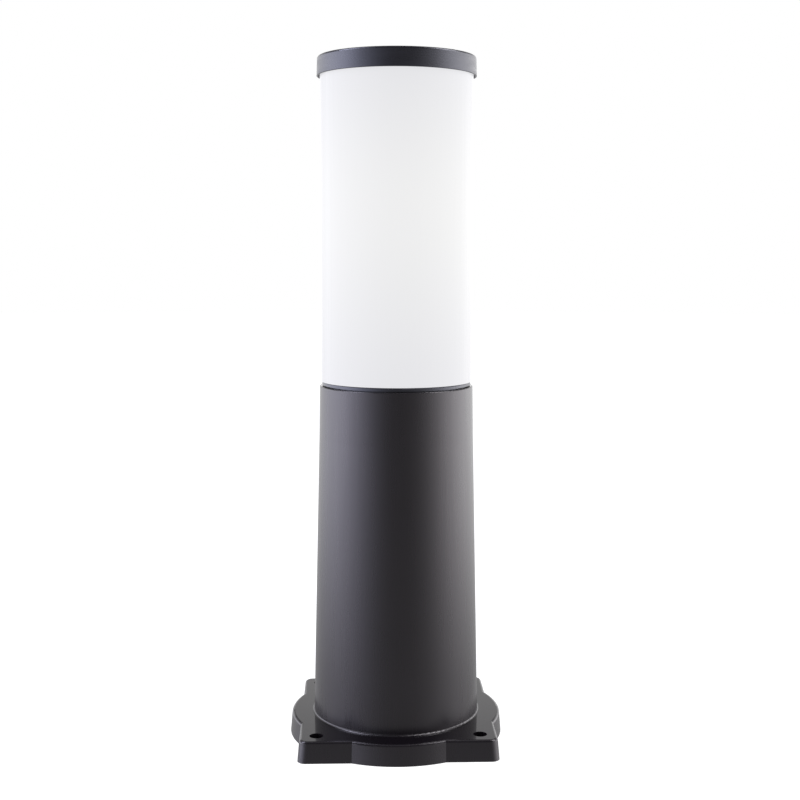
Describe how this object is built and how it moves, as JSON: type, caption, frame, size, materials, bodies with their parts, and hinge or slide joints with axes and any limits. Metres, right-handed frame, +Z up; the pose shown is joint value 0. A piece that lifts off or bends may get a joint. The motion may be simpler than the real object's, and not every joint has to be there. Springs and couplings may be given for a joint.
{
  "type": "bollard light",
  "caption": "Short garden bollard light: tapered black post on a screw-down foot, opal tube and flat black cap, with a lamp inside; the head twists and lifts off.",
  "frame": {"origin": "middle of the foot's underside", "axes": "+Z up the post; X and Y along the sides of the square foot, front towards -Y"},
  "size_m": [0.1436, 0.1436, 0.45],
  "materials": {
    "post_plastic": "black satin moulding, fine even grain",
    "cap_plastic": "black satin moulding",
    "opal_tube": "opal white acrylic, smooth, softly glossy",
    "seal_rubber": "dull black rubber",
    "carrier_plastic": "black moulding",
    "screw_steel": "zinc-plated steel",
    "porcelain": "white glazed porcelain",
    "contact_brass": "plain brass",
    "lamp_opal": "satin opal polycarbonate",
    "lamp_white": "white moulding",
    "led_board": "white-coated aluminium board",
    "circuit_board": "green glass-fibre laminate",
    "cap_metal": "nickel-plated shell",
    "black_insulator": "black vitrite",
    "box_plastic": "grey moulding",
    "block_plastic": "natural polyamide",
    "gland_plastic": "dark grey polyamide",
    "lead_brown": "brown insulation",
    "lead_blue": "blue insulation"
  },
  "bodies": {
    "base": {"post": "post_plastic", "terminal_box_seal": "seal_rubber", "gland_seal": "seal_rubber", "gland_washer": "seal_rubber", "lamp_carrier": "carrier_plastic", "carrier_screws": "screw_steel", "lampholder_screws": "screw_steel", "terminal_box_screws": "screw_steel", "terminal_block_screw": "screw_steel", "terminal_clamp_screws": "screw_steel", "lampholder_terminal_screws": "screw_steel", "lampholder_body": "porcelain", "lampholder_shell": "contact_brass", "lampholder_centre_contact": "contact_brass", "lampholder_terminals": "contact_brass", "terminal_clamps": "contact_brass", "lamp_globe": "lamp_opal", "lamp_housing": "lamp_white", "lamp_led_board": "led_board", "lamp_driver_board": "circuit_board", "lamp_cap_shell": "cap_metal", "lamp_tip_contact": "contact_brass", "lamp_cap_insulator": "black_insulator", "terminal_box": "box_plastic", "terminal_block": "block_plastic", "gland_body": "gland_plastic", "gland_locknut": "gland_plastic", "gland_nut": "gland_plastic", "lead_live": "lead_brown", "lead_neutral": "lead_blue"},
    "sealing_ring": {"spigot_seal": "seal_rubber"},
    "head": {"cap": "cap_plastic", "cap_seal": "seal_rubber", "diffuser": "opal_tube", "diffuser_collar": "cap_plastic"}
  },
  "joints": [
    {"name": "head_twist", "type": "hinge", "parent": "base", "child": "sealing_ring", "pos_m": [0, 0, 0.221], "axis": [0, 0, 1], "range_deg": [-25, 0]},
    {"name": "head_lift", "type": "slide", "parent": "sealing_ring", "child": "head", "axis": [0, 0, 1], "range_m": [0, 0.14]}
  ]
}
